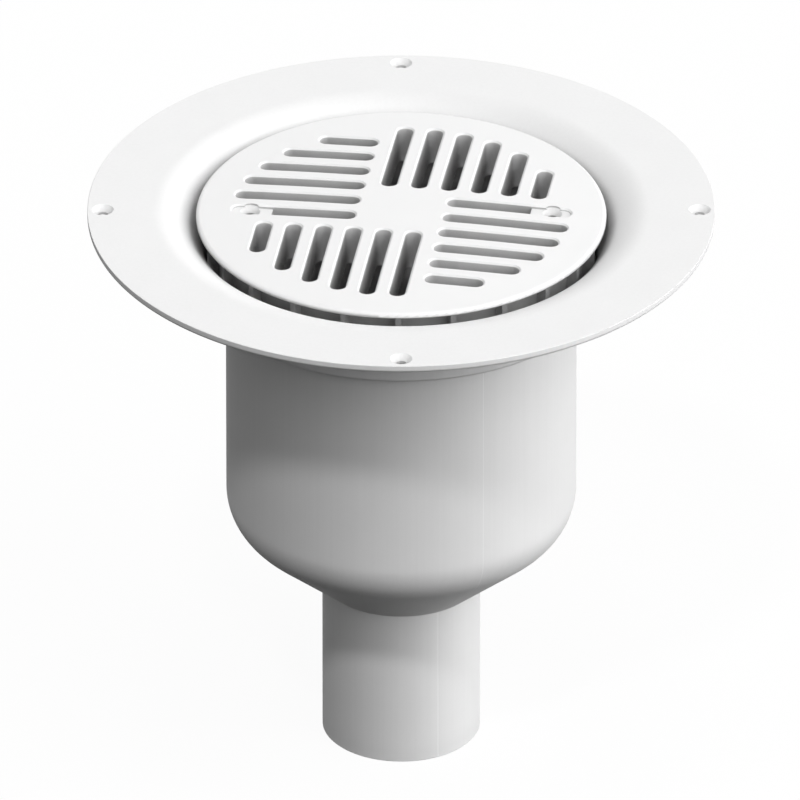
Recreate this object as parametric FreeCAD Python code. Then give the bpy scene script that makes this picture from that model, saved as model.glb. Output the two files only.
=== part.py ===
"""Floor drain with a vertical outlet: a moulded body with a screw flange, a ribbed clamp ring, a slotted
strainer and a lift-out bell trap. Millimetres, +Z up, origin at the flange's axis on its underside.
"""

import FreeCAD, Part
import math
import os

# Body: one moulding with flange, rounded mouth, collar, well, conical floor and outlet spigot
wall = 4.0
body_d = 166.0
body_h = 110.8
shoulder_w = 14.0
collar_h = 34.7
collar_edge_r = 2.0
mouth_r = 24.0
flange_w = 31.3
flange_top_edge = 0.2
flange_low_r = 2.0
floor_round_r = 27.0
floor_slope = 40.5
outlet_d = 75.0
outlet_wall = 3.0
outlet_len = 80.0
outlet_edge = 0.3

# Four countersunk screw holes in the flange
screw_count = 4
screw_edge = 7.3
screw_hole_d = 5.0
screw_head_d = 10.4

# Clamp ring: stands on the shoulder inside the collar, carries the strainer
ledge_w = 5.0
ring_wall = 3.0
ring_top = 0.3
rib_count = 22
rib_first = 90.0
rib_w = 2.8
rib_clearance = 0.6
lug_h = 8.0
lug_gap = 0.5
pilot_d = 3.5

# Strainer: crowned plate with a pinwheel of deep slots and a skirt that drops into the ring
strainer_clearance = 1.0
rim_overhang = 4.0
rim_t = 2.3
rim_edge_r = 1.9
crown = 2.4
grate_drop = 15.3
skirt_wall = 2.4
slot_w = 7.6
slot_pitch = 14.28
slot_first = 9.4
slot_start = 20.5
slot_margin = 2.9
slot_edge = 0.8
slot_shortest = 15.0
strainer_turn = -8.5
tube_wall = 2.0
strainer_screw_count = 2
strainer_screw_inset = 5.6
strainer_hole_d = 5.0
strainer_head_d = 10.6
head_sink = 0.8
web_len = 10.3
web_sink = 1.4

# Bell trap: a standpipe plugged into the outlet and a bell hung over it
plug_clearance = 1.0
plug_len = 28.0
pipe_wall = 2.5
pipe_h = 84.0
stop_w = 8.0
stop_t = 1.5
seat_gap = 0.2
seal_h = 7.0
seal_groove = 1.2
seal_gap = 0.1
seal_lip = 1.4
water_seal = 50.0
bell_annulus = 18.5
bell_wall = 2.5
bell_headroom = 25.0
bell_shoulder = 12.0
bell_shoulder_slope = 45.0
fin_count = 4
fin_first = 45.0
fin_t = 2.5
fin_reach = 9.5
fin_drop = 25.0
fin_clearance = 0.7
grip_w = 46.0
grip_h = 22.0
grip_t = 4.0
grip_bar = 6.0

# Radii and levels that follow from the sizes above
body_r = body_d / 2
body_ri = body_r - wall
collar_r = body_r + shoulder_w
collar_ri = collar_r - wall
mouth_flat_r = collar_ri + mouth_r
flange_r = mouth_flat_r + flange_w
screw_circle_r = flange_r - screw_edge
outlet_r = outlet_d / 2
outlet_ri = outlet_r - outlet_wall
collar_low = -collar_h
ledge_z = collar_low + wall
floor_start = collar_low - body_h
mouth_centre_z = wall - mouth_r
floor_centre_r = body_r - floor_round_r
slope = math.tan(math.radians(floor_slope))
facing = floor_slope - 90

ring_ri = body_ri + ledge_w
ring_r = ring_ri + ring_wall
rib_r = collar_ri - rib_clearance
rim_r = collar_ri + rim_overhang
rim_low = ring_top
rim_top = rim_low + rim_t
skirt_r = ring_ri - strainer_clearance
slot_field_r = skirt_r - slot_margin - slot_w / 2
grate_low = rim_low - grate_drop
screw_reach = slot_field_r - strainer_screw_inset
strainer_screw_r = math.hypot(screw_reach, slot_first)
screw_turn = strainer_turn + math.degrees(math.atan2(slot_first, screw_reach))
tube_w = slot_w + 2 * tube_wall

same_point = 1e-6
same_height = 1e-3
cut_over = 1.0
quarter_turn = 90.0
AXIS = FreeCAD.Vector(0, 0, 1)
CENTRE = FreeCAD.Vector(0, 0, 0)


def at(r, z):
    """Point of a half section: radius and height."""
    return FreeCAD.Vector(r, 0, z)


def round_point(r, z, radius, angle):
    """Point of a half section on the circle about (r, z), at an angle from the outward direction."""
    turn = math.radians(angle)
    return at(r + radius * math.cos(turn), z + radius * math.sin(turn))


def arc(r, z, radius, first, last):
    """Step of an outline: the arc about (r, z) from one angle to another."""
    middle = round_point(r, z, radius, (first + last) / 2)
    return middle, round_point(r, z, radius, last)


def outline(start, *steps):
    """Closed face. A step is the end of a straight line, or the middle and end of an arc."""
    edges = []
    here = start
    for step in steps:
        if isinstance(step, tuple):
            middle, end = step
            edges.append(Part.Arc(here, middle, end).toShape())
        else:
            end = step
            edges.append(Part.LineSegment(here, end).toShape())
        here = end
    if here.distanceToPoint(start) > same_point:
        edges.append(Part.LineSegment(here, start).toShape())
    return Part.Face(Part.Wire(edges))


def turned(face):
    """Solid of revolution of a half section about the drain's axis."""
    return face.revolve(CENTRE, AXIS, 360)


def around(shape, angle):
    """Copy of a shape, turned about the drain's axis."""
    copy = shape.copy()
    copy.rotate(CENTRE, AXIS, angle)
    return copy


def pattern(shape, count, start=0.0):
    """Copies of a shape at equal angles about the drain's axis."""
    return [around(shape, start + 360.0 * k / count) for k in range(count)]


def stadium(x_low, x_high, y, width, z_low, z_high):
    """Upright prism with round ends, along X, from tip to tip."""
    half = width / 2
    a = x_low + half
    b = x_high - half
    face = outline(
        FreeCAD.Vector(a, y - half, z_low),
        FreeCAD.Vector(b, y - half, z_low),
        (FreeCAD.Vector(x_high, y, z_low), FreeCAD.Vector(b, y + half, z_low)),
        FreeCAD.Vector(a, y + half, z_low),
        (FreeCAD.Vector(x_low, y, z_low), FreeCAD.Vector(a, y - half, z_low)),
    )
    return face.extrude(FreeCAD.Vector(0, 0, z_high - z_low))


def countersunk_hole(x, y, z_top, z_low, hole_d, head_d):
    """Cutter for a through hole with a right-angled countersink at its top."""
    sink = (head_d - hole_d) / 2
    shaft = Part.makeCylinder(hole_d / 2, z_top + cut_over - z_low, FreeCAD.Vector(x, y, z_low))
    base = FreeCAD.Vector(x, y, z_top - sink)
    cone = Part.makeCone(hole_d / 2, head_d / 2 + cut_over, sink + cut_over, base)
    return shaft.fuse(cone)


def floor_z(r):
    """Height of the conical floor's inner face at a radius."""
    top = round_point(floor_centre_r, floor_start, floor_round_r - wall, facing)
    return top.z - (top.x - r) * slope


def make_drain_body():
    """Wall of even thickness from the flange's edge down to the spigot's end."""
    floor_end = round_point(floor_centre_r, floor_start, floor_round_r, facing)
    spigot_top = floor_end.z - (floor_end.x - outlet_r) * slope
    spigot_end = spigot_top - outlet_len
    collar_edge = collar_r - collar_edge_r
    section = outline(
        at(mouth_flat_r, wall),
        at(flange_r - flange_top_edge, wall),
        at(flange_r, wall - flange_top_edge),
        at(flange_r, flange_low_r),
        arc(flange_r - flange_low_r, flange_low_r, flange_low_r, 0, -90),
        at(mouth_flat_r, 0),
        arc(mouth_flat_r, mouth_centre_z, mouth_r - wall, 90, 180),
        at(collar_r, collar_low + collar_edge_r),
        arc(collar_edge, collar_low + collar_edge_r, collar_edge_r, 0, -90),
        at(body_r, collar_low),
        at(body_r, floor_start),
        arc(floor_centre_r, floor_start, floor_round_r, 0, facing),
        at(outlet_r, spigot_top),
        at(outlet_r, spigot_end + outlet_edge),
        at(outlet_r - outlet_edge, spigot_end),
        at(outlet_ri, spigot_end),
        at(outlet_ri, floor_z(outlet_ri)),
        round_point(floor_centre_r, floor_start, floor_round_r - wall, facing),
        arc(floor_centre_r, floor_start, floor_round_r - wall, facing, 0),
        at(body_ri, ledge_z),
        at(collar_ri, ledge_z),
        at(collar_ri, mouth_centre_z),
        arc(mouth_flat_r, mouth_centre_z, mouth_r, 180, 90),
    )
    hole = countersunk_hole(screw_circle_r, 0, wall, -wall, screw_hole_d, screw_head_d)
    return turned(section).cut(pattern(hole, screw_count))


def make_clamp_ring():
    """Ring on the shoulder with upright ribs outside and two lugs inside, below the strainer's screws."""
    height = ring_top - ledge_z
    ring = turned(
        outline(at(ring_ri, ledge_z), at(ring_r, ledge_z), at(ring_r, ring_top), at(ring_ri, ring_top))
    )
    root = ring_r - ring_wall / 2
    corner = FreeCAD.Vector(root, -rib_w / 2, ledge_z)
    rib = Part.makeBox(rib_r - root, rib_w, height, corner)
    ribs = pattern(rib, rib_count, rib_first)
    lug_top = grate_low - lug_gap
    lug_low = lug_top - lug_h
    lug = stadium(strainer_screw_r - tube_w / 2, root + tube_w, 0, tube_w, lug_low, lug_top)
    lug = lug.common(Part.makeCylinder(root, lug_h, FreeCAD.Vector(0, 0, lug_low)))
    pilot = Part.makeCylinder(pilot_d / 2, lug_h, FreeCAD.Vector(strainer_screw_r, 0, lug_low))
    lugs = pattern(lug.cut(pilot), strainer_screw_count)
    return around(ring.fuse(ribs + lugs).removeSplitter(), screw_turn)


def slot_rows():
    """Offset and tip distance of each slot of one quarter. All round ends are centred on one circle."""
    rows = []
    offset = slot_first
    while abs(offset) < slot_field_r:
        tip = math.sqrt(slot_field_r**2 - offset**2) + slot_w / 2
        if tip > slot_start + slot_shortest:
            rows.append((offset, tip))
        offset -= slot_pitch
    return rows


def dome_z(r):
    """Height of the strainer's crowned top at a radius."""
    dome_r = (rim_r**2 + crown**2) / (2 * crown)
    return rim_top + crown - dome_r + math.sqrt(dome_r**2 - r**2)


def web_top():
    """Height of the webs that the strainer's screws pass through."""
    return dome_z(strainer_screw_r) - web_sink


def crowned_plate():
    """Round plate with a flat underside, a slightly crowned top and a rounded rim."""
    edge_r = rim_r - rim_edge_r
    edge_z = dome_z(edge_r) - rim_edge_r
    half_r = edge_r / 2
    return turned(
        outline(
            at(0, rim_low),
            at(rim_r, rim_low),
            at(rim_r, edge_z),
            arc(edge_r, edge_z, rim_edge_r, 0, 90),
            (at(half_r, dome_z(half_r)), at(0, dome_z(0))),
        )
    )


def slot_edges(strainer):
    """Edges of the strainer's crowned top that run round its slots."""
    edges = []
    for edge in strainer.Edges:
        ends = [vertex.Point for vertex in edge.Vertexes]
        radii = [math.hypot(point.x, point.y) for point in ends]
        on_top = all(abs(point.z - dome_z(r)) < same_height for point, r in zip(ends, radii))
        if len(ends) == 2 and on_top and max(radii) < slot_field_r + slot_w:
            edges.append(edge)
    return edges


def make_strainer():
    """Crowned plate on a skirt, with a tube below every slot and two screw bosses."""
    high = dome_z(0) + cut_over
    tubes = []
    slots = []
    screw_spots = []
    for quarter in range(4):
        for k, (offset, tip) in enumerate(slot_rows()):
            takes_screw = k == 0 and quarter % strainer_screw_count == 0
            low = web_top() if takes_screw else grate_low
            tube = stadium(slot_start - tube_wall, tip + tube_wall, offset, tube_w, grate_low, rim_low)
            slot = stadium(slot_start, tip, offset, slot_w, low, high)
            tubes.append(around(tube, quarter_turn * quarter))
            slots.append(around(slot, quarter_turn * quarter))
            if takes_screw:
                screw_spots.append(around(screw_spot(offset, tip), quarter_turn * quarter))
    inner = skirt_r - skirt_wall
    skirt = turned(
        outline(at(inner, grate_low), at(skirt_r, grate_low), at(skirt_r, rim_low), at(inner, rim_low))
    )
    strainer = crowned_plate().fuse(tubes + [skirt]).cut(slots)
    strainer = strainer.makeChamfer(slot_edge, slot_edges(strainer))
    return around(strainer.cut(screw_spots).removeSplitter(), strainer_turn)


def screw_spot(offset, tip):
    """Cutter below a screw's slot: open as far as the web, which has a sunk seat and a countersunk hole."""
    slot = stadium(slot_start, tip, offset, slot_w, grate_low, web_top())
    corner = FreeCAD.Vector(screw_reach - web_len, offset - tube_w / 2, grate_low)
    web = Part.makeBox(tip, tube_w, web_top() - grate_low, corner)
    hole_r = strainer_hole_d / 2
    head_r = strainer_head_d / 2
    seat = dome_z(strainer_screw_r) - head_sink
    shaft = Part.makeCylinder(hole_r, seat - grate_low, FreeCAD.Vector(screw_reach, offset, grate_low))
    sink = head_r - hole_r
    cone = Part.makeCone(hole_r, head_r, sink, FreeCAD.Vector(screw_reach, offset, seat - sink))
    head = Part.makeCylinder(head_r, head_sink + cut_over, FreeCAD.Vector(screw_reach, offset, seat))
    return slot.cut(web).fuse([shaft, cone, head])


def make_trap_standpipe():
    """Pipe plugged into the outlet, with a stop that stands on the conical floor."""
    pipe_r = outlet_ri - plug_clearance
    pipe_ri = pipe_r - pipe_wall
    mouth_z = floor_z(outlet_ri)
    top = mouth_z + pipe_h
    low = mouth_z - plug_len
    groove_high = mouth_z - (plug_len - seal_h) / 2
    groove_low = groove_high - seal_h
    groove_r = pipe_r - seal_groove
    stop_ri = outlet_ri + plug_clearance
    stop_r = stop_ri + stop_w
    stop_low = floor_z(stop_ri) + seat_gap
    stop_side = floor_z(stop_r) + seat_gap
    section = outline(
        at(pipe_ri, low),
        at(pipe_r, low),
        at(pipe_r, groove_low),
        at(groove_r, groove_low),
        at(groove_r, groove_high),
        at(pipe_r, groove_high),
        at(pipe_r, stop_low),
        at(stop_ri, stop_low),
        at(stop_r, stop_side),
        at(stop_r, stop_side + stop_t),
        at(pipe_r, stop_side + stop_t),
        at(pipe_r, top),
        at(pipe_ri, top),
    )
    return turned(section)


def make_trap_seal():
    """Rubber ring in the standpipe's groove, with two lips against the outlet's bore."""
    groove_r = outlet_ri - plug_clearance - seal_groove
    mouth_z = floor_z(outlet_ri)
    high = mouth_z - (plug_len - seal_h) / 2 - seal_gap
    low = high - seal_h + 2 * seal_gap
    inner = groove_r + seal_gap
    lip = outlet_ri - seal_gap
    neck = lip - seal_lip / 2
    middle = (high + low) / 2
    section = outline(
        at(inner, low),
        at(neck, low),
        at(lip, low + seal_lip),
        at(neck, middle),
        at(lip, high - seal_lip),
        at(neck, high),
        at(inner, high),
    )
    return turned(section)


def bell_form(radius, roof, low):
    """Solid of the bell's form out to a radius and a roof height, with a sloped shoulder."""
    rise = bell_shoulder * math.tan(math.radians(bell_shoulder_slope))
    return turned(
        outline(
            at(0, roof),
            at(radius - bell_shoulder, roof),
            at(radius, roof - rise),
            at(radius, low),
            at(0, low),
        )
    )


def make_trap_bell():
    """Bell over the standpipe: fins inside rest on the pipe's end, and a grip stands on top."""
    pipe_r = outlet_ri - plug_clearance
    water = floor_z(outlet_ri) + pipe_h
    low = water - water_seal
    roof = water + bell_headroom
    bell_ri = pipe_r + bell_annulus
    inside = bell_form(bell_ri, roof, low)
    shell = bell_form(bell_ri + bell_wall, roof + bell_wall, low).cut(inside)
    in_wall = bell_ri + bell_wall / 2
    in_roof = roof + bell_wall / 2
    notch_r = pipe_r + fin_clearance
    fin = outline(
        at(pipe_r - fin_reach, in_roof),
        at(pipe_r - fin_reach, water),
        at(notch_r, water),
        at(notch_r, water - fin_drop),
        at(in_wall, water - fin_drop),
        at(in_wall, in_roof),
    ).extrude(FreeCAD.Vector(0, fin_t, 0))
    fin.translate(FreeCAD.Vector(0, -fin_t / 2, 0))
    half_wall = bell_form(in_wall, in_roof, low)
    fins = [each.common(half_wall) for each in pattern(fin, fin_count, fin_first)]
    return shell.fuse(fins + [bell_grip(roof + bell_wall)]).removeSplitter()


def bell_grip(top):
    """Upright loop on the bell's roof, wide enough for two fingers."""
    half = grip_w / 2
    bend = grip_h / 2
    inner = bend - grip_bar
    foot = top - bell_wall / 2
    crown_z = top + grip_h
    bend_z = crown_z - bend
    loop = outline(
        at(-half, foot),
        at(half, foot),
        at(half, bend_z),
        arc(half - bend, bend_z, bend, 0, 90),
        at(bend - half, crown_z),
        arc(bend - half, bend_z, bend, 90, 180),
    )
    finger = outline(
        at(bend - half, bend_z - inner),
        at(half - bend, bend_z - inner),
        arc(half - bend, bend_z, inner, -90, 90),
        at(bend - half, bend_z + inner),
        arc(bend - half, bend_z, inner, 90, 270),
    )
    grip = loop.cut(finger).extrude(FreeCAD.Vector(0, grip_t, 0))
    grip.translate(FreeCAD.Vector(0, -grip_t / 2, 0))
    return grip


def save(name, shape):
    """One STEP file for each piece of the drain."""
    shape.exportStep("parts/" + name + ".step")


os.makedirs("parts", exist_ok=True)
save("drain_body", make_drain_body())
save("clamp_ring", make_clamp_ring())
save("strainer", make_strainer())
save("trap_standpipe", make_trap_standpipe())
save("trap_seal", make_trap_seal())
save("trap_bell", make_trap_bell())
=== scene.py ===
"""Floor drain with a screw flange, a slotted strainer on a ribbed clamp ring and a lift-out bell trap.
Everything is in metres, in the frame of the solids: +Z up, origin on the flange's underside.
"""

import bpy
import math
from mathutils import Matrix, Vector


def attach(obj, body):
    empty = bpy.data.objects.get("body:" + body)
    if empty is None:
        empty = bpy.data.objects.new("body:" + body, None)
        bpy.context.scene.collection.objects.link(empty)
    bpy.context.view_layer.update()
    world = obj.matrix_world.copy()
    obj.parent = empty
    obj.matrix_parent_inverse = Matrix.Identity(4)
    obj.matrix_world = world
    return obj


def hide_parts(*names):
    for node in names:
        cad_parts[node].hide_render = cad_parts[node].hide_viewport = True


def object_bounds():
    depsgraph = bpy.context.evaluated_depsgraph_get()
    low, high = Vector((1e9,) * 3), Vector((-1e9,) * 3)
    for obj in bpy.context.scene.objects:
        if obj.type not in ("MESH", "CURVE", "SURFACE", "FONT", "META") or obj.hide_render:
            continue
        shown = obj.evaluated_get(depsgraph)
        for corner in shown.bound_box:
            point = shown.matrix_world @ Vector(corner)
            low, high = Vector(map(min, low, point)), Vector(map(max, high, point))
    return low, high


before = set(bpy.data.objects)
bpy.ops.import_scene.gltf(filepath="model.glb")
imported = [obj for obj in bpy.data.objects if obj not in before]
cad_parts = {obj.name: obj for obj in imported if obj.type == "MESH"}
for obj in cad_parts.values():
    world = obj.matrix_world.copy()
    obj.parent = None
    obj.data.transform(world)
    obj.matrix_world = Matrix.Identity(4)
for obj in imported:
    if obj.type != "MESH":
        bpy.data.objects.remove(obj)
cad_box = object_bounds()


# Drain body: one injection moulding of white polypropylene, from the flange down to the plain spigot.
# The steel mould is spark-eroded to a fine even grain, and its halves meet in a line down well and spigot.
# It is screwed down through four countersunk holes, and is turned here finer than its solid, to its sizes.
mm = 0.001
wall = 4.0 * mm
flange_r = 148.3 * mm
flange_top_edge = 0.2 * mm
flange_low_r = 2.0 * mm
mouth_flat_r = 117.0 * mm
mouth_r = 24.0 * mm
mouth_z = wall - mouth_r
collar_ri = mouth_flat_r - mouth_r
collar_r = collar_ri + wall
collar_low = -34.7 * mm
collar_edge_r = 2.0 * mm
well_r = 83.0 * mm
well_ri = well_r - wall
well_low = -145.5 * mm
floor_round_r = 27.0 * mm
floor_round_at = well_r - floor_round_r
floor_slope = 40.5
floor_turn = floor_slope - 90.0
spigot_r = 37.5 * mm
spigot_ri = 34.5 * mm
spigot_edge = 0.3 * mm
spigot_end = cad_box[0][2]
body_turns = 240
arc_steps = 24
long_run = 2.0 * mm
support_at = 0.3 * mm
sharp_from = math.radians(25.0)


def arc_points(r, z, radius, first, last):
    """Points of a half section, as (radius, height), on an arc about (r, z), with its angles in degrees."""
    turns = [math.radians(first + (last - first) * k / arc_steps) for k in range(arc_steps + 1)]
    return [(r + radius * math.cos(t), z + radius * math.sin(t)) for t in turns]


def supported(points):
    """The closed half section, with a point near both ends of each long straight run to keep it flat."""
    full = []
    for (r0, z0), (r1, z1) in zip(points, points[1:] + points[:1]):
        full.append((r0, z0))
        run = math.hypot(r1 - r0, z1 - z0)
        if run > long_run:
            for share in (support_at / run, 1.0 - support_at / run):
                full.append((r0 + (r1 - r0) * share, z0 + (z1 - z0) * share))
    return full


def cone_height(start, r):
    """Height of the conical floor at a radius, from a point (radius, height) on it."""
    return start[1] - (start[0] - r) * math.tan(math.radians(floor_slope))


outer_floor = arc_points(floor_round_at, well_low, floor_round_r, 0.0, floor_turn)
inner_floor = arc_points(floor_round_at, well_low, floor_round_r - wall, floor_turn, 0.0)
body_section = supported(
    [(mouth_flat_r, wall), (flange_r - flange_top_edge, wall), (flange_r, wall - flange_top_edge)]
    + arc_points(flange_r - flange_low_r, flange_low_r, flange_low_r, 0.0, -90.0)
    + arc_points(mouth_flat_r, mouth_z, mouth_r - wall, 90.0, 180.0)
    + arc_points(collar_r - collar_edge_r, collar_low + collar_edge_r, collar_edge_r, 0.0, -90.0)
    + [(well_r, collar_low)]
    + outer_floor
    + [(spigot_r, cone_height(outer_floor[-1], spigot_r)), (spigot_r, spigot_end + spigot_edge)]
    + [(spigot_r - spigot_edge, spigot_end), (spigot_ri, spigot_end)]
    + [(spigot_ri, cone_height(inner_floor[0], spigot_ri))]
    + inner_floor
    + [(well_ri, collar_low + wall), (collar_ri, collar_low + wall)]
    + arc_points(mouth_flat_r, mouth_z, mouth_r, 180.0, 90.0)[:-1]
)
body_points = []
body_faces = []
side = len(body_section)
for k in range(body_turns):
    turn = math.tau * k / body_turns
    body_points += [(r * math.cos(turn), r * math.sin(turn), z) for r, z in body_section]
    here = k * side
    following = (k + 1) % body_turns * side
    for n in range(side):
        m = (n + 1) % side
        body_faces.append((here + n, here + m, following + m, following + n))
turned_mesh = bpy.data.meshes.new("body_turned")
turned_mesh.from_pydata(body_points, [], body_faces)
body_moulding = bpy.data.objects.new("body_moulding", turned_mesh)
bpy.context.scene.collection.objects.link(body_moulding)

# The screw holes are drilled by one tool of four pins, each with a wide head for the countersink.
screw_count = 4
screw_circle_r = 141.0 * mm
screw_hole_r = 2.5 * mm
screw_head_r = 5.2 * mm
screw_sink = screw_head_r - screw_hole_r
screw_over = 1.0 * mm
hole_turns = 48
hole_section = [
    (screw_hole_r, -wall),
    (screw_hole_r, wall - screw_sink),
    (screw_head_r + screw_over, wall + screw_over),
]
hole_points = []
hole_faces = []
for k in range(screw_count):
    around = math.tau * k / screw_count
    x = screw_circle_r * math.cos(around)
    y = screw_circle_r * math.sin(around)
    first = len(hole_points)
    for r, z in hole_section:
        for n in range(hole_turns):
            turn = math.tau * n / hole_turns
            hole_points.append((x + r * math.cos(turn), y + r * math.sin(turn), z))
    for row in range(len(hole_section) - 1):
        low = first + row * hole_turns
        for n in range(hole_turns):
            m = (n + 1) % hole_turns
            hole_faces.append((low + n, low + m, low + hole_turns + m, low + hole_turns + n))
    top = first + (len(hole_section) - 1) * hole_turns
    hole_faces.append(tuple(first + n for n in reversed(range(hole_turns))))
    hole_faces.append(tuple(top + n for n in range(hole_turns)))
hole_mesh = bpy.data.meshes.new("screw_holes")
hole_mesh.from_pydata(hole_points, [], hole_faces)
hole_tool = bpy.data.objects.new("screw_holes", hole_mesh)
bpy.context.scene.collection.objects.link(hole_tool)
drill = body_moulding.modifiers.new("screw_holes", "BOOLEAN")
drill.operation = "DIFFERENCE"
drill.solver = "EXACT"
drill.object = hole_tool
drilled = body_moulding.evaluated_get(bpy.context.evaluated_depsgraph_get())
body_mesh = bpy.data.meshes.new_from_object(drilled)
body_moulding.modifiers.clear()
body_moulding.data = body_mesh
bpy.data.objects.remove(hole_tool)
bpy.data.meshes.remove(turned_mesh)
bpy.data.meshes.remove(hole_mesh)
body_mesh.shade_smooth()
body_mesh.set_sharp_from_angle(angle=sharp_from)


def feed(tree, socket, value):
    """Join a socket to the one that feeds it, or set it to a plain value."""
    if isinstance(value, bpy.types.NodeSocket):
        tree.links.new(value, socket)
    else:
        socket.default_value = value


def worked_out(tree, operation, *values):
    """The result of one step of arithmetic on sockets and plain numbers."""
    step = tree.nodes.new("ShaderNodeMath")
    step.operation = operation
    for socket, value in zip(step.inputs, values):
        feed(tree, socket, value)
    return step.outputs["Value"]


def fade(tree, value, start, end, at_start, at_end, interpolation="LINEAR"):
    """A number that goes from at_start to at_end while the value goes from start to end."""
    ramp = tree.nodes.new("ShaderNodeMapRange")
    ramp.interpolation_type = interpolation
    feed(tree, ramp.inputs["Value"], value)
    feed(tree, ramp.inputs["From Min"], start)
    feed(tree, ramp.inputs["From Max"], end)
    feed(tree, ramp.inputs["To Min"], at_start)
    feed(tree, ramp.inputs["To Max"], at_end)
    return ramp.outputs["Result"]


def patches(tree, place, scale, detail):
    """Soft random patches over the surface, as a number from 0 to 1."""
    noise = tree.nodes.new("ShaderNodeTexNoise")
    feed(tree, noise.inputs["Scale"], scale)
    feed(tree, noise.inputs["Detail"], detail)
    feed(tree, noise.inputs["Vector"], place)
    return noise.outputs["Fac"]


def tinted(tree, blend, share, colour, tint):
    """The colour with a share of the tint blended into it."""
    mix = tree.nodes.new("ShaderNodeMix")
    mix.data_type = "RGBA"
    mix.blend_type = blend
    feed(tree, mix.inputs["Factor"], share)
    feed(tree, mix.inputs["A"], colour)
    feed(tree, mix.inputs["B"], tint)
    return mix.outputs["Result"]


clouds_per_metre = 38.0
cloud_detail = 3.0
cloud_low = 0.3
cloud_high = 0.7
cloud_swell = 4.0
grains_per_metre = 2600.0
grain_detail = 2.0
grain_roughness = 0.12
grain_strength = 0.25
grain_height = 0.02 * mm
painted_shade_samples = 12
edge_samples = 6
plastic_ior = 1.49
matt_gloss = 0.05


def moulded_skin_and_shade_group():
    """Grain, clouds of tone, rounded edges and painted shade in deep recesses, which every moulding here
    shares.
    """
    group = bpy.data.node_groups.new("moulded_skin_and_shade", "ShaderNodeTree")
    takes = {
        "Resin": "NodeSocketColor",
        "Clouds": "NodeSocketFloat",
        "Roughness": "NodeSocketFloat",
        "Painted Shade Tone": "NodeSocketFloat",
        "Painted Shade Reach": "NodeSocketFloat",
        "Painted Shade Deep": "NodeSocketFloat",
        "Painted Shade Open": "NodeSocketFloat",
        "Edge Round": "NodeSocketFloat",
    }
    gives = {
        "Color": "NodeSocketColor",
        "Roughness": "NodeSocketFloat",
        "Height": "NodeSocketFloat",
        "Normal": "NodeSocketVector",
    }
    for name, kind in takes.items():
        group.interface.new_socket(name, in_out="INPUT", socket_type=kind)
    for name, kind in gives.items():
        group.interface.new_socket(name, in_out="OUTPUT", socket_type=kind)
    given = group.nodes.new("NodeGroupInput").outputs
    result = group.nodes.new("NodeGroupOutput").inputs
    place = group.nodes.new("ShaderNodeTexCoord").outputs["Object"]
    cloud = patches(group, place, clouds_per_metre, cloud_detail)
    grain = patches(group, place, grains_per_metre, grain_detail)

    cloud_darkest = worked_out(group, "SUBTRACT", 1.0, given["Clouds"])
    cloud_tone = fade(group, cloud, cloud_low, cloud_high, cloud_darkest, 1.0)
    # Painted shade: the colour is darkened down to the given tone where ambient occlusion finds the surface
    # closed in, in slots, gaps and corners.
    openness = group.nodes.new("ShaderNodeAmbientOcclusion")
    openness.samples = painted_shade_samples
    feed(group, openness.inputs["Distance"], given["Painted Shade Reach"])
    painted_shade_tone = fade(
        group,
        openness.outputs["AO"],
        start=given["Painted Shade Deep"],
        end=given["Painted Shade Open"],
        at_start=given["Painted Shade Tone"],
        at_end=1.0,
        interpolation="SMOOTHSTEP",
    )
    tone = worked_out(group, "MULTIPLY", cloud_tone, painted_shade_tone)
    feed(group, result["Color"], tinted(group, "MULTIPLY", 1.0, given["Resin"], tone))

    rough = worked_out(group, "MULTIPLY_ADD", grain, grain_roughness, given["Roughness"])
    feed(group, result["Roughness"], rough)
    height = worked_out(group, "MULTIPLY_ADD", cloud, cloud_swell, grain)
    feed(group, result["Height"], height)
    edge = group.nodes.new("ShaderNodeBevel")
    edge.samples = edge_samples
    feed(group, edge.inputs["Radius"], given["Edge Round"])
    feed(group, result["Normal"], edge.outputs["Normal"])
    return group


moulded_skin_and_shade = moulded_skin_and_shade_group()


def moulded_plastic(
    name, resin, clouds, roughness, painted_shade_tone, painted_shade_reach, edge_round, painted_shade_deep=0.05, painted_shade_open=0.9
):
    """A matt material with the moulded skin, in its own colour, mottle, painted shade in its recesses, and
    edges.
    """
    material = bpy.data.materials.new(name)
    material.use_nodes = True
    tree = material.node_tree
    shader = tree.nodes["Principled BSDF"]
    feed(tree, shader.inputs["IOR"], plastic_ior)
    feed(tree, shader.inputs["Specular IOR Level"], matt_gloss)
    skin = tree.nodes.new("ShaderNodeGroup")
    skin.name = "skin"
    skin.node_tree = moulded_skin_and_shade
    skin_values = {
        "Resin": resin,
        "Clouds": clouds,
        "Roughness": roughness,
        "Painted Shade Tone": painted_shade_tone,
        "Painted Shade Reach": painted_shade_reach,
        "Painted Shade Deep": painted_shade_deep,
        "Painted Shade Open": painted_shade_open,
        "Edge Round": edge_round,
    }
    for socket, value in skin_values.items():
        feed(tree, skin.inputs[socket], value)
    bump = tree.nodes.new("ShaderNodeBump")
    bump.name = "grain"
    feed(tree, bump.inputs["Strength"], grain_strength)
    feed(tree, bump.inputs["Distance"], grain_height)
    feed(tree, bump.inputs["Height"], skin.outputs["Height"])
    feed(tree, bump.inputs["Normal"], skin.outputs["Normal"])
    feed(tree, shader.inputs["Base Color"], skin.outputs["Color"])
    feed(tree, shader.inputs["Roughness"], skin.outputs["Roughness"])
    feed(tree, shader.inputs["Normal"], bump.outputs["Normal"])
    return material


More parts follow.
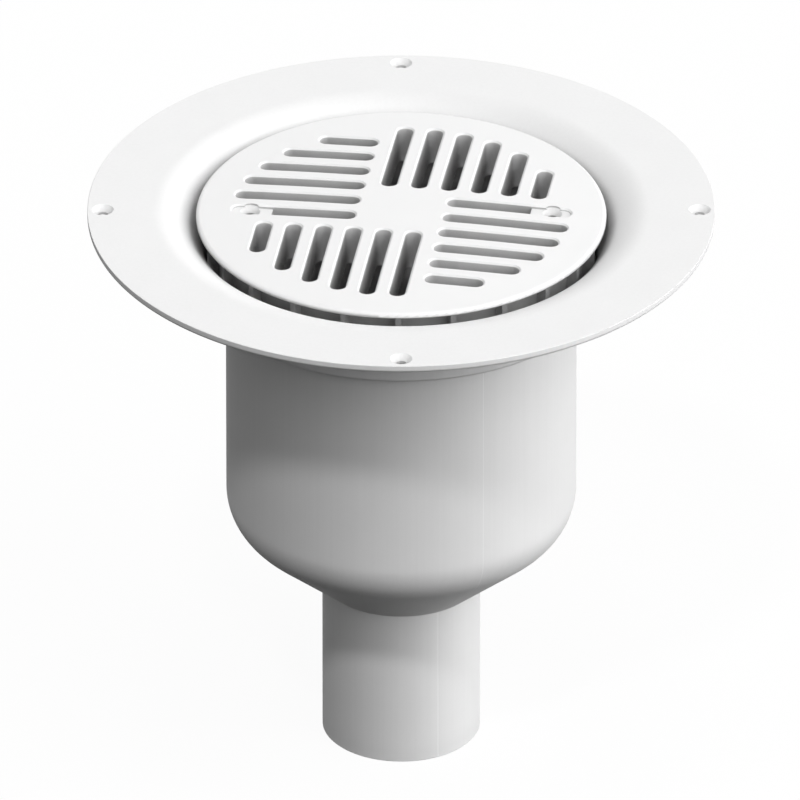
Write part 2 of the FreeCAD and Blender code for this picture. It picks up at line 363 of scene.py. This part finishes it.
# Painted shade: the body's colour goes down to this share of itself in its deepest recesses.
body_painted_shade_tone = 0.4
body_white = moulded_plastic(
    "body_white",
    resin=(0.86, 0.86, 0.86, 1.0),
    clouds=0.015,
    roughness=0.56,
    painted_shade_tone=body_painted_shade_tone,
    painted_shade_reach=18.0 * mm,
    edge_round=0.15 * mm,
    painted_shade_deep=0.15,
    painted_shade_open=0.86,
)
body_tree = body_white.node_tree
body_skin = body_tree.nodes["skin"]
body_place = body_tree.nodes.new("ShaderNodeTexCoord").outputs["Object"]
body_axes = body_tree.nodes.new("ShaderNodeSeparateXYZ")
feed(body_tree, body_axes.inputs["Vector"], body_place)
body_z = body_axes.outputs["Z"]

# The painted recess shade fades out at the spigot's end, where the floor below would count as a recess.
end_fade = 25.0 * mm
end_shade_tone = fade(body_tree, body_z, spigot_end, spigot_end + end_fade, 1.0, body_painted_shade_tone)
feed(body_tree, body_skin.inputs["Painted Shade Tone"], end_shade_tone)

# The mould's parting line is a fine pale groove below the collar, on both sides of the axis.
line_turn = math.radians(27.9)
line_half_width = 0.5 * mm
line_top = -36.0 * mm
line_fade = 0.5 * mm
line_depth = -9.0
line_pale = 0.5
line_plane = body_tree.nodes.new("ShaderNodeVectorMath")
line_plane.operation = "DOT_PRODUCT"
feed(body_tree, line_plane.inputs[0], body_place)
feed(body_tree, line_plane.inputs[1], (math.cos(line_turn), math.sin(line_turn), 0.0))
line_off = worked_out(body_tree, "ABSOLUTE", line_plane.outputs["Value"])
line_across = fade(body_tree, line_off, 0.0, line_half_width, 1.0, 0.0, interpolation="SMOOTHSTEP")
line_down = fade(body_tree, body_z, line_top - line_fade, line_top, 1.0, 0.0)
line_mask = worked_out(body_tree, "MULTIPLY", line_across, line_down)
line_share = worked_out(body_tree, "MULTIPLY", line_mask, line_pale)
line_height = worked_out(body_tree, "MULTIPLY_ADD", line_mask, line_depth, body_skin.outputs["Height"])
feed(body_tree, body_tree.nodes["grain"].inputs["Height"], line_height)

# Faint streaks run down the walls, the way the moulding was drawn from the mould.
streaks_per_metre = (620.0, 620.0, 7.0)
streak_scale = 1.0
streak_detail = 2.0
streak_low = 0.35
streak_high = 0.65
streak_least = 0.985
streak_place = body_tree.nodes.new("ShaderNodeMapping")
feed(body_tree, streak_place.inputs["Scale"], streaks_per_metre)
feed(body_tree, streak_place.inputs["Vector"], body_place)
streak = patches(body_tree, streak_place.outputs["Vector"], streak_scale, streak_detail)
streak_tone = fade(body_tree, streak, streak_low, streak_high, streak_least, 1.0)

pure_white = (1.0, 1.0, 1.0, 1.0)
streaked = tinted(body_tree, "MULTIPLY", 1.0, body_skin.outputs["Color"], streak_tone)
lined = tinted(body_tree, "MIX", line_share, streaked, pure_white)
feed(body_tree, body_tree.nodes["Principled BSDF"].inputs["Base Color"], lined)
body_mesh.materials.append(body_white)
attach(body_moulding, "root")
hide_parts("drain_body")


# Clamp ring: a loose injection-moulded ring of the same white plastic, with upright ribs round its outside.
# It stands on the ledge inside the body's mouth and carries the strainer's rim on its top edge.
def dress(node, material):
    """Give a piece that shows as its own solid a material all over."""
    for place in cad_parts[node].material_slots:
        place.material = material


ring_white = moulded_plastic(
    "ring_white",
    resin=(0.80, 0.80, 0.80, 1.0),
    clouds=0.02,
    roughness=0.56,
    # Painted shade darkens the ring's recesses to this share of its colour.
    painted_shade_tone=0.6,
    painted_shade_reach=12.0 * mm,
    edge_round=0.3 * mm,
)
dress("clamp_ring", ring_white)


# Trap standpipe and trap bell: two mouldings of dark grey plastic that lift out for cleaning.
# The pipe is pushed into the outlet, and the bell stands on the pipe's end and holds the water back.
trap_grey = moulded_plastic(
    "trap_grey",
    resin=(0.20, 0.20, 0.20, 1.0),
    clouds=0.04,
    roughness=0.5,
    # Painted shade darkens the trap's recesses to this share of its colour.
    painted_shade_tone=0.6,
    painted_shade_reach=15.0 * mm,
    edge_round=0.4 * mm,
)
dress("trap_standpipe", trap_grey)
dress("trap_bell", trap_grey)


# Trap seal: a black rubber ring in the standpipe's groove, pressed against the outlet's bore.
# Moulded rubber has a dull skin with a pale bloom in soft clouds.
seal_rubber = moulded_plastic(
    "seal_rubber",
    resin=(0.03, 0.03, 0.03, 1.0),
    clouds=0.25,
    roughness=0.62,
    # Painted shade darkens the seal's recesses to this share of its colour.
    painted_shade_tone=0.7,
    painted_shade_reach=6.0 * mm,
    edge_round=0.2 * mm,
)
dress("trap_seal", seal_rubber)


# Strainer: one injection moulding, a crowned white plate with a pinwheel of deep slots and a rounded rim.
# It rests on the clamp ring, and two screws can hold it through the sunk holes in its long slots.
strainer_white = moulded_plastic(
    "strainer_white",
    resin=(0.87, 0.87, 0.87, 1.0),
    clouds=0.01,
    roughness=0.54,
    # Painted shade darkens the strainer's slots and recesses to this share of its colour.
    painted_shade_tone=0.5,
    painted_shade_reach=14.0 * mm,
    edge_round=0.5 * mm,
    painted_shade_deep=0.35,
    painted_shade_open=0.9,
)
dress("strainer", strainer_white)


# Studio floor: a plain sheet under the spigot's end, white to the eye and dark in the light it sends back.
# A small share of its own shading stays in view for the drain's soft shadow, and from below it is clear.
floor_reach = 4.0
floor_dark = (0.012, 0.012, 0.012, 1.0)
floor_pale = (0.92, 0.92, 0.92, 1.0)
white_share = 0.94
floor_sides = ((-1, -1), (1, -1), (1, 1), (-1, 1))
floor_corners = [(x * floor_reach, y * floor_reach, spigot_end) for x, y in floor_sides]
floor_mesh = bpy.data.meshes.new("studio_floor")
floor_mesh.from_pydata(floor_corners, [], [(0, 1, 2, 3)])
floor = bpy.data.objects.new("studio_floor", floor_mesh)
bpy.context.scene.collection.objects.link(floor)


def seen_ray(tree):
    """1 for rays that show the backdrop: to the camera, in a reflection or through something clear."""
    path = tree.nodes.new("ShaderNodeLightPath").outputs
    direct = worked_out(tree, "MAXIMUM", path["Is Camera Ray"], path["Is Glossy Ray"])
    return worked_out(tree, "MAXIMUM", direct, path["Is Transmission Ray"])


def shared(tree, share, first, second):
    """A shader that goes over from the first to the second by the second's share."""
    mix = tree.nodes.new("ShaderNodeMixShader")
    feed(tree, mix.inputs["Fac"], share)
    feed(tree, mix.inputs[1], first)
    feed(tree, mix.inputs[2], second)
    return mix.outputs["Shader"]


def matt_shader(tree, colour):
    """A plain matt shader."""
    matt = tree.nodes.new("ShaderNodeBsdfDiffuse")
    feed(tree, matt.inputs["Color"], colour)
    return matt.outputs["BSDF"]


floor_sheet = bpy.data.materials.new("floor_sheet")
floor_sheet.use_nodes = True
sheet_tree = floor_sheet.node_tree
sheet_tree.nodes.clear()
sheet_out = sheet_tree.nodes.new("ShaderNodeOutputMaterial")
sheet_white = sheet_tree.nodes.new("ShaderNodeEmission").outputs["Emission"]
sheet_clear = sheet_tree.nodes.new("ShaderNodeBsdfTransparent").outputs["BSDF"]
sheet_below = sheet_tree.nodes.new("ShaderNodeNewGeometry").outputs["Backfacing"]
sheet_face = shared(sheet_tree, white_share, matt_shader(sheet_tree, floor_pale), sheet_white)
sheet_top = shared(sheet_tree, seen_ray(sheet_tree), matt_shader(sheet_tree, floor_dark), sheet_face)
sheet_both = shared(sheet_tree, sheet_below, sheet_top, sheet_clear)
feed(sheet_tree, sheet_out.inputs["Surface"], sheet_both)
floor_mesh.materials.append(floor_sheet)


# Studio room: walls that are white to the eye and in reflections.
# They put only a little light of their own on the drain, because the lamps do the rest.
room_light = 0.111
room = bpy.data.worlds.new("studio")
bpy.context.scene.world = room
room.use_nodes = True
room_tree = room.node_tree
room_dim = room_tree.nodes["Background"]
feed(room_tree, room_dim.inputs["Color"], pure_white)
feed(room_tree, room_dim.inputs["Strength"], room_light)
room_white = room_tree.nodes.new("ShaderNodeBackground")
feed(room_tree, room_white.inputs["Color"], pure_white)
room_seen = seen_ray(room_tree)
room_both = shared(room_tree, room_seen, room_dim.outputs["Background"], room_white.outputs["Background"])
feed(room_tree, room_tree.nodes["World Output"].inputs["Surface"], room_both)


# Studio lamps: a small key light high in front, and wide soft boxes all round and above, most on the right.
# Each shines from a compass direction in degrees, where 0 is the camera's side and 90 its right.
def studio_lamp(name, azimuth, elevation, strength, spread):
    """A distant lamp that shines on the drain from a direction, over a spread of angles."""
    lamp = bpy.data.lights.new(name, "SUN")
    lamp.energy = strength
    lamp.angle = math.radians(spread)
    holder = bpy.data.objects.new(name, lamp)
    bpy.context.scene.collection.objects.link(holder)
    turn = math.radians(azimuth)
    rise = math.radians(elevation)
    level = math.cos(rise)
    towards = Vector((math.sin(turn) * level, -math.cos(turn) * level, math.sin(rise)))
    holder.rotation_euler = towards.to_track_quat("Z", "Y").to_euler()


studio_lamp("key_light", azimuth=-14.0, elevation=55.4, strength=0.769, spread=5.3)
studio_lamp("front_right_box", azimuth=45.0, elevation=30.0, strength=1.098, spread=40.0)
studio_lamp("front_box", azimuth=0.0, elevation=30.0, strength=0.251, spread=40.0)
studio_lamp("low_right_box", azimuth=70.0, elevation=5.0, strength=0.335, spread=30.0)
studio_lamp("right_box", azimuth=90.0, elevation=12.0, strength=0.927, spread=40.0)
studio_lamp("back_right_box", azimuth=110.0, elevation=5.0, strength=1.013, spread=30.0)
studio_lamp("back_box", azimuth=180.0, elevation=14.0, strength=0.724, spread=30.0)
studio_lamp("left_box", azimuth=-90.0, elevation=30.0, strength=0.243, spread=40.0)
studio_lamp("high_right_box", azimuth=60.0, elevation=55.0, strength=0.600, spread=30.0)
studio_lamp("overhead_box", azimuth=0.0, elevation=90.0, strength=0.500, spread=20.0)


# Camera: a long lens from the front, looking down at 30 degrees, so upright edges stay nearly parallel.
# It stands where the picture is view_width wide at the point that it aims at.
view_width = 379.06 * mm
view_rise = math.radians(30.0)
view_aim = Vector((-0.6 * mm, 0.0, -99.83 * mm))
lens_length = 1600.0
film_width = 36.0
lens = bpy.data.cameras.new("camera")
lens.lens = lens_length
lens.sensor_width = film_width
camera = bpy.data.objects.new("camera", lens)
bpy.context.scene.collection.objects.link(camera)
towards_camera = Vector((0.0, -math.cos(view_rise), math.sin(view_rise)))
camera.location = view_aim + towards_camera * (view_width * lens_length / film_width)
camera.rotation_euler = towards_camera.to_track_quat("Z", "Y").to_euler()
bpy.context.scene.camera = camera
bpy.context.scene.view_settings.view_transform = "Standard"
